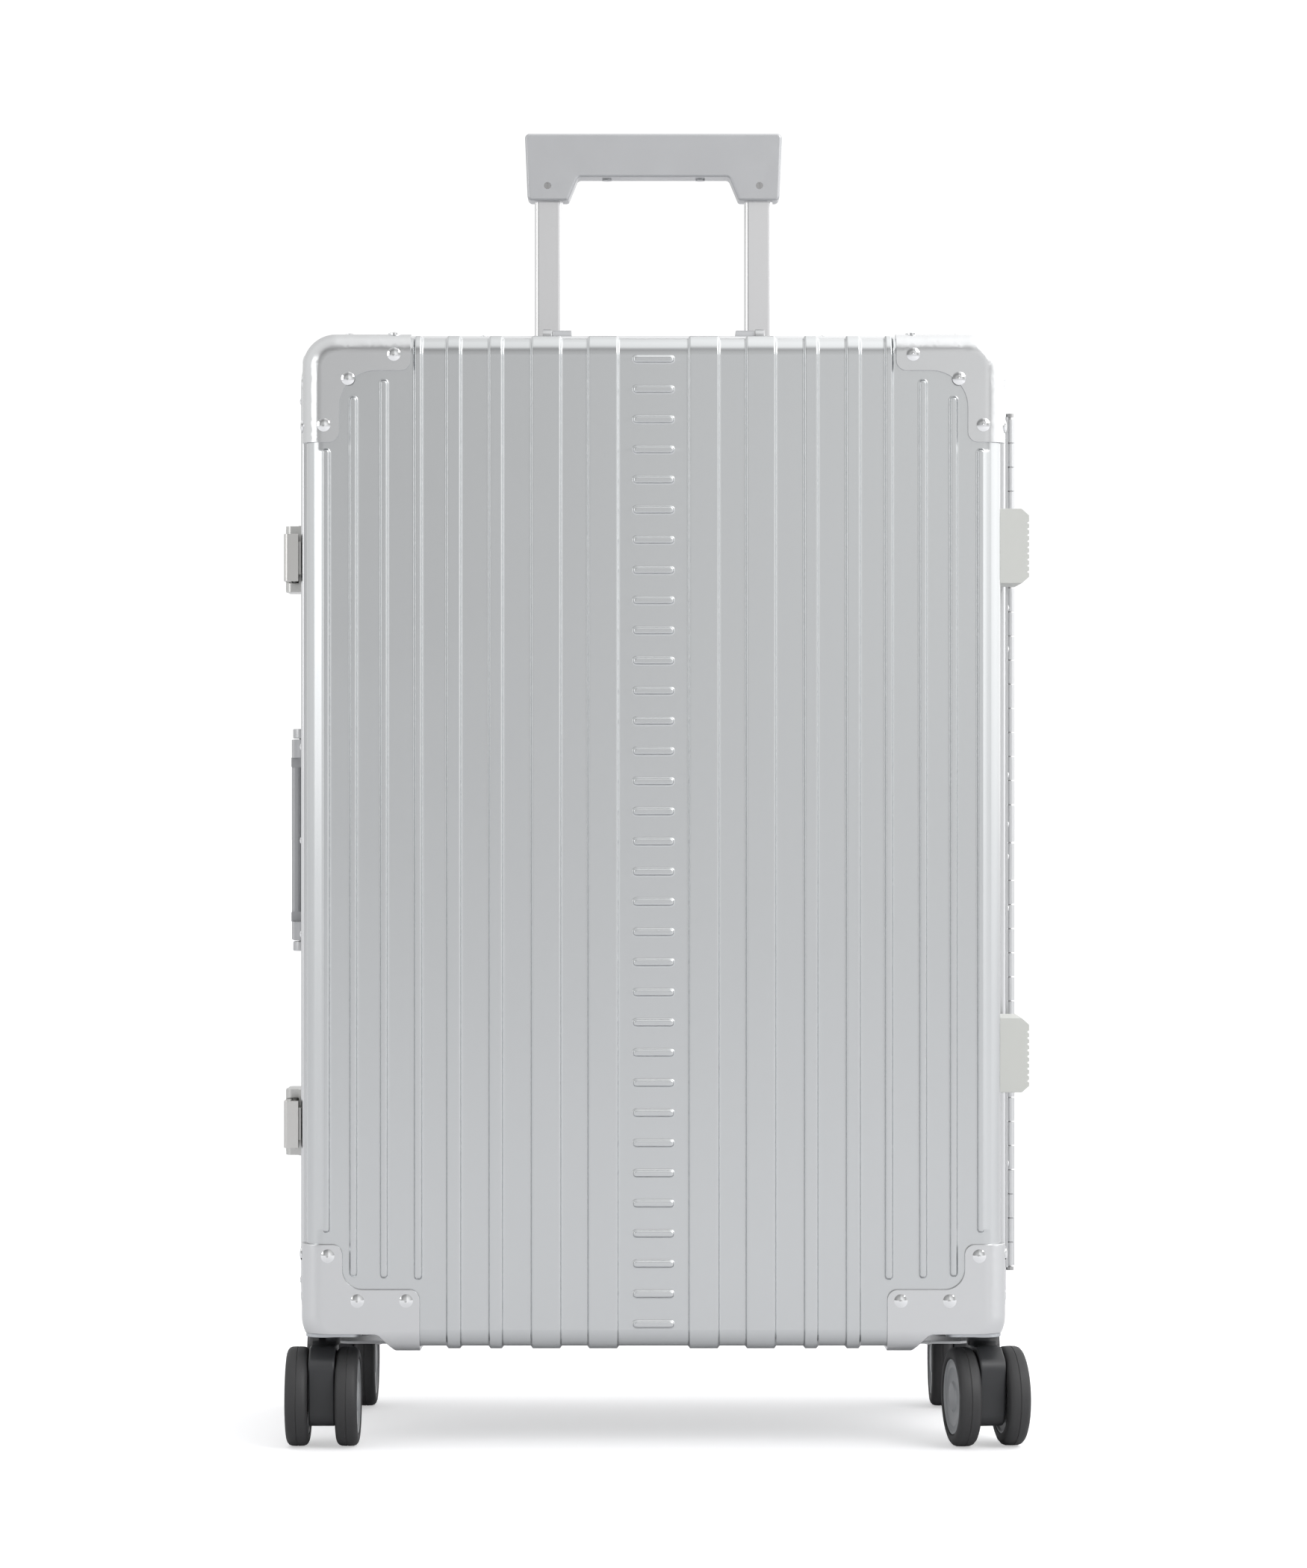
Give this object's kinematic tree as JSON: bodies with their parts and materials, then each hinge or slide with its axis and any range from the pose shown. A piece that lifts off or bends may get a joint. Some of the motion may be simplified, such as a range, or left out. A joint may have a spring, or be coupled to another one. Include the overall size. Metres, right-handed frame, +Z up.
{
  "type": "hard shell suitcase on wheels",
  "caption": "Ribbed aluminium suitcase with riveted corner guards, telescopic grip, combination latches, carry handles and swivelling twin wheel casters.",
  "frame": {"origin": "centre of the bounding box on the floor under the wheels", "axes": "+Z up, +Y towards the trolley side, +X towards the hinge side"},
  "size_m": [0.4573, 0.2612, 0.814],
  "materials": {
    "shell": "satin pressed sheet",
    "frame": "satin extrusion",
    "seal": "matt",
    "lining": "woven",
    "guard": "satin pressed",
    "rivet": "polished",
    "hinge": "satin extrusion",
    "pin_steel": "drawn",
    "foot": "moulded",
    "latch": "die cast",
    "lever": "satin",
    "handle_block": "die cast",
    "bail": "moulded",
    "tube": "anodised drawn tube",
    "bezel": "moulded",
    "bracket": "moulded",
    "grip": "painted moulding",
    "button": "moulded",
    "screw": "plated",
    "caster_plate": "zinc plated",
    "strap": "woven webbing",
    "buckle": "moulded",
    "dial": "moulded",
    "fork": "moulded",
    "wheel": "moulded tread on a hub"
  },
  "bodies": {
    "back_case": {"back_shell": "shell", "back_frame": "frame", "frame_seal": "seal", "back_lining": "lining", "back_top_guards": "guard", "back_bottom_guards": "guard", "back_rivets": "rivet", "back_hinge_leaf": "hinge", "hinge_pin": "pin_steel", "back_feet": "foot", "upper_latch_base": "latch", "lower_latch_base": "latch", "top_handle_blocks": "handle_block", "side_handle_blocks": "handle_block", "trolley_outer_tubes": "tube", "trolley_bezel": "bezel", "trolley_bracket": "bracket", "back_caster_plates": "caster_plate", "packing_straps": "strap", "strap_buckles": "buckle"},
    "front_case": {"front_shell": "shell", "front_frame": "frame", "front_lining": "lining", "front_top_guards": "guard", "front_bottom_guards": "guard", "front_rivets": "rivet", "front_hinge_leaf": "hinge", "front_feet": "foot", "latch_keepers": "latch", "front_caster_plates": "caster_plate"},
    "upper_latch": {"upper_latch_lever": "lever"},
    "lower_latch": {"lower_latch_lever": "lever"},
    "top_handle": {"top_bail": "bail"},
    "side_handle": {"side_bail": "bail"},
    "trolley_mid": {"trolley_mid_tubes": "tube"},
    "trolley_upper": {"trolley_inner_tubes": "tube", "trolley_grip": "grip", "grip_screws": "screw"},
    "release_button": {"grip_button": "button"},
    "upper_dial_1": {"upper_dial_1": "dial"},
    "upper_dial_2": {"upper_dial_2": "dial"},
    "upper_dial_3": {"upper_dial_3": "dial"},
    "lower_dial_1": {"lower_dial_1": "dial"},
    "lower_dial_2": {"lower_dial_2": "dial"},
    "lower_dial_3": {"lower_dial_3": "dial"},
    "caster_fl": {"caster_fl_fork": "fork"},
    "caster_fl_wheel_a": {"caster_fl_wheel_a": "wheel"},
    "caster_fl_wheel_b": {"caster_fl_wheel_b": "wheel"},
    "caster_fr": {"caster_fr_fork": "fork"},
    "caster_fr_wheel_a": {"caster_fr_wheel_a": "wheel"},
    "caster_fr_wheel_b": {"caster_fr_wheel_b": "wheel"},
    "caster_bl": {"caster_bl_fork": "fork"},
    "caster_bl_wheel_a": {"caster_bl_wheel_a": "wheel"},
    "caster_bl_wheel_b": {"caster_bl_wheel_b": "wheel"},
    "caster_br": {"caster_br_fork": "fork"},
    "caster_br_wheel_a": {"caster_br_wheel_a": "wheel"},
    "caster_br_wheel_b": {"caster_br_wheel_b": "wheel"}
  },
  "joints": [
    {"name": "lid_hinge", "type": "hinge", "parent": "back_case", "child": "front_case", "pos_m": [0.2214, 0, 0.361], "axis": [0, 0, 1], "range_deg": [0, 155]},
    {"name": "upper_latch_lever", "type": "hinge", "parent": "back_case", "child": "upper_latch", "pos_m": [-0.2245, 0.011, 0.537], "axis": [0, 0, -1], "range_deg": [0, 90]},
    {"name": "upper_dial_1_turn", "type": "hinge", "parent": "back_case", "child": "upper_dial_1", "pos_m": [-0.2253, 0.027, 0.529], "axis": [0, 0, 1], "continuous": true},
    {"name": "upper_dial_2_turn", "type": "hinge", "parent": "back_case", "child": "upper_dial_2", "pos_m": [-0.2253, 0.027, 0.537], "axis": [0, 0, 1], "continuous": true},
    {"name": "upper_dial_3_turn", "type": "hinge", "parent": "back_case", "child": "upper_dial_3", "pos_m": [-0.2253, 0.027, 0.545], "axis": [0, 0, 1], "continuous": true},
    {"name": "lower_latch_lever", "type": "hinge", "parent": "back_case", "child": "lower_latch", "pos_m": [-0.2245, 0.011, 0.1865], "axis": [0, 0, -1], "range_deg": [0, 90]},
    {"name": "lower_dial_1_turn", "type": "hinge", "parent": "back_case", "child": "lower_dial_1", "pos_m": [-0.2253, 0.027, 0.1785], "axis": [0, 0, 1], "continuous": true},
    {"name": "lower_dial_2_turn", "type": "hinge", "parent": "back_case", "child": "lower_dial_2", "pos_m": [-0.2253, 0.027, 0.1865], "axis": [0, 0, 1], "continuous": true},
    {"name": "lower_dial_3_turn", "type": "hinge", "parent": "back_case", "child": "lower_dial_3", "pos_m": [-0.2253, 0.027, 0.1945], "axis": [0, 0, 1], "continuous": true},
    {"name": "top_handle_lift", "type": "hinge", "parent": "back_case", "child": "top_handle", "pos_m": [0, 0.024, 0.6755], "axis": [1, 0, 0], "range_deg": [0, 90]},
    {"name": "side_handle_lift", "type": "hinge", "parent": "back_case", "child": "side_handle", "pos_m": [-0.2195, 0.024, 0.362], "axis": [0, 0, 1], "range_deg": [0, 90]},
    {"name": "trolley_mid_slide", "type": "slide", "parent": "back_case", "child": "trolley_mid", "axis": [0, 0, 1], "range_m": [0, 0.17]},
    {"name": "trolley_upper_slide", "type": "slide", "parent": "trolley_mid", "child": "trolley_upper", "axis": [0, 0, 1], "range_m": [-0.098, 0.112]},
    {"name": "button_press", "type": "slide", "parent": "trolley_upper", "child": "release_button", "axis": [0, 0, -1], "range_m": [0, 0.0035], "stiffness_N_per_m": 400, "springref_m": -0.002},
    {"name": "caster_fl_swivel", "type": "hinge", "parent": "front_case", "child": "caster_fl", "pos_m": [-0.198, -0.091, 0.06], "axis": [0, 0, 1], "continuous": true},
    {"name": "caster_fl_wheel_a_spin", "type": "hinge", "parent": "caster_fl", "child": "caster_fl_wheel_a", "pos_m": [-0.198, -0.1, 0.0297], "axis": [1, 0, 0], "continuous": true},
    {"name": "caster_fl_wheel_b_spin", "type": "hinge", "parent": "caster_fl", "child": "caster_fl_wheel_b", "pos_m": [-0.198, -0.1, 0.0297], "axis": [1, 0, 0], "continuous": true},
    {"name": "caster_fr_swivel", "type": "hinge", "parent": "front_case", "child": "caster_fr", "pos_m": [0.198, -0.091, 0.06], "axis": [0, 0, 1], "continuous": true},
    {"name": "caster_fr_wheel_a_spin", "type": "hinge", "parent": "caster_fr", "child": "caster_fr_wheel_a", "pos_m": [0.19941, -0.09989, 0.0297], "axis": [0.9877, 0.1564, 0], "continuous": true},
    {"name": "caster_fr_wheel_b_spin", "type": "hinge", "parent": "caster_fr", "child": "caster_fr_wheel_b", "pos_m": [0.19941, -0.09989, 0.0297], "axis": [0.9877, 0.1564, 0], "continuous": true},
    {"name": "caster_bl_swivel", "type": "hinge", "parent": "back_case", "child": "caster_bl", "pos_m": [-0.198, 0.091, 0.06], "axis": [0, 0, 1], "continuous": true},
    {"name": "caster_bl_wheel_a_spin", "type": "hinge", "parent": "caster_bl", "child": "caster_bl_wheel_a", "pos_m": [-0.198, 0.082, 0.0297], "axis": [1, 0, 0], "continuous": true},
    {"name": "caster_bl_wheel_b_spin", "type": "hinge", "parent": "caster_bl", "child": "caster_bl_wheel_b", "pos_m": [-0.198, 0.082, 0.0297], "axis": [1, 0, 0], "continuous": true},
    {"name": "caster_br_swivel", "type": "hinge", "parent": "back_case", "child": "caster_br", "pos_m": [0.198, 0.091, 0.06], "axis": [0, 0, 1], "continuous": true},
    {"name": "caster_br_wheel_a_spin", "type": "hinge", "parent": "caster_br", "child": "caster_br_wheel_a", "pos_m": [0.198, 0.082, 0.0297], "axis": [1, 0, 0], "continuous": true},
    {"name": "caster_br_wheel_b_spin", "type": "hinge", "parent": "caster_br", "child": "caster_br_wheel_b", "pos_m": [0.198, 0.082, 0.0297], "axis": [1, 0, 0], "continuous": true}
  ]
}
